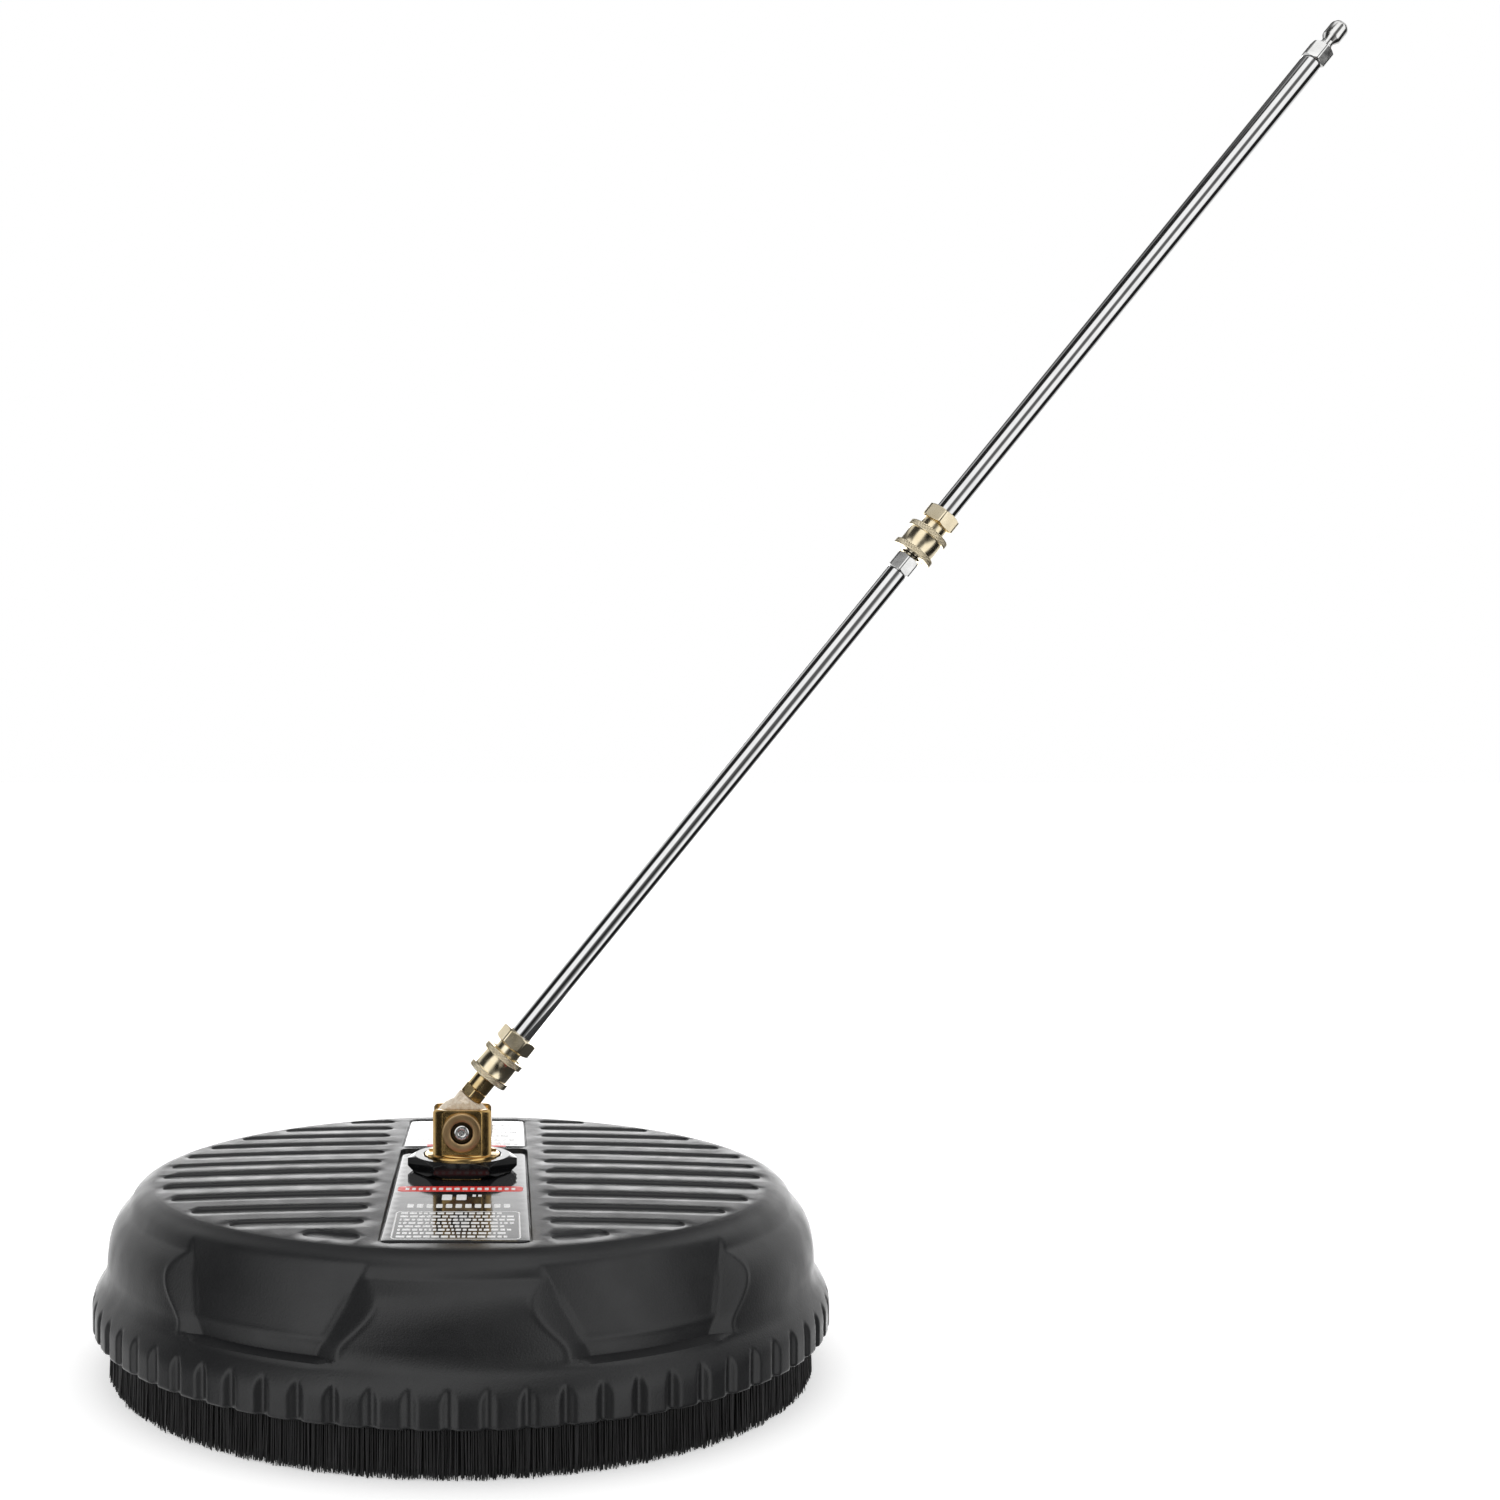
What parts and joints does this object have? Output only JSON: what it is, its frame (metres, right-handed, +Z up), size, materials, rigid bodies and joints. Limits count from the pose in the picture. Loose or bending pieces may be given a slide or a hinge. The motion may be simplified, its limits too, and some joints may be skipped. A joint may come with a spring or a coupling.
{
  "type": "pressure washer surface cleaner",
  "caption": "Round brush-skirted deck with a spinning spray bar under it and a quick-coupled wand on a tilting brass swivel.",
  "frame": {"origin": "middle of the footprint, on the floor that the brush stands on", "axes": "+Z up; the wand leans to +X; the front of the deck and the pivot screw face -Y"},
  "size_m": [0.689, 0.3996, 0.7356],
  "materials": {
    "black_plastic": "fine moulded texture, black",
    "nylon": "black nylon bristles",
    "label": "glossy dark label film",
    "rubber": "black rubber seal",
    "brass": "machined brass",
    "pale_brass": "pale plated brass, turned and knurled",
    "stainless": "polished stainless steel",
    "steel": "plain hardened steel"
  },
  "bodies": {
    "deck": {"bearing_circlip": "steel", "brush_holder": "black_plastic", "brush_screw_1": "steel", "brush_screw_2": "steel", "brush_screw_3": "steel", "brush_screw_4": "steel", "brush_skirt": "nylon", "clamp_nut": "black_plastic", "deck_shell": "black_plastic", "front_label": "label", "housing_gasket": "rubber", "lower_bearing": "steel", "pin_circlip": "steel", "pivot_pin": "brass", "pivot_screw": "stainless", "pivot_yoke": "brass", "rear_label": "label", "shaft_seal": "rubber", "swivel_housing": "brass", "upper_bearing": "steel"},
    "spray_rotor": {"arm_nut_left": "brass", "arm_nut_right": "brass", "hub_screw": "steel", "nozzle_body_left": "brass", "nozzle_body_right": "brass", "rotor_hub": "brass", "spindle": "stainless", "spray_arm_left": "stainless", "spray_arm_right": "stainless", "spray_nozzle_left": "stainless", "spray_nozzle_right": "stainless"},
    "inlet": {"knuckle": "brass", "inlet_plug": "brass", "pin_seal_front": "rubber", "pin_seal_rear": "rubber"},
    "lower_wand": {"lower_ball_1": "steel", "lower_ball_2": "steel", "lower_ball_3": "steel", "lower_ball_4": "steel", "lower_plug": "stainless", "lower_sleeve_spring": "steel", "lower_socket": "pale_brass", "lower_socket_seal": "rubber", "lower_tube": "stainless"},
    "lower_coupling_sleeve": {"lower_sleeve": "pale_brass"},
    "upper_wand": {"upper_ball_1": "steel", "upper_ball_2": "steel", "upper_ball_3": "steel", "upper_ball_4": "steel", "upper_plug": "stainless", "upper_sleeve_spring": "steel", "upper_socket": "pale_brass", "upper_socket_seal": "rubber", "upper_tube": "stainless"},
    "upper_coupling_sleeve": {"upper_sleeve": "pale_brass"}
  },
  "joints": [
    {"name": "spray_spin", "type": "hinge", "parent": "deck", "child": "spray_rotor", "pos_m": [-0.14466, 0, 0.046], "axis": [0, 0, 1], "continuous": true},
    {"name": "wand_tilt", "type": "hinge", "parent": "deck", "child": "inlet", "pos_m": [-0.14466, 0, 0.1239], "axis": [0, -1, 0], "range_deg": [0, 78.2]},
    {"name": "lower_wand_swivel", "type": "hinge", "parent": "inlet", "child": "lower_wand", "pos_m": [-0.12989, 0, 0.15318], "axis": [0.6307, 0, 0.776], "continuous": true},
    {"name": "lower_sleeve_slide", "type": "slide", "parent": "lower_wand", "child": "lower_coupling_sleeve", "axis": [0.6307, 0, 0.776], "range_m": [0, 0.004], "stiffness_N_per_m": 1500, "springref_m": -0.002, "deforming": ["lower_sleeve_spring"]},
    {"name": "upper_wand_swivel", "type": "hinge", "parent": "lower_wand", "child": "upper_wand", "pos_m": [0.10428, 0, 0.44133], "axis": [0.6307, 0, 0.776], "continuous": true},
    {"name": "upper_sleeve_slide", "type": "slide", "parent": "upper_wand", "child": "upper_coupling_sleeve", "axis": [0.6307, 0, 0.776], "range_m": [0, 0.004], "stiffness_N_per_m": 1500, "springref_m": -0.002, "deforming": ["upper_sleeve_spring"]}
  ]
}
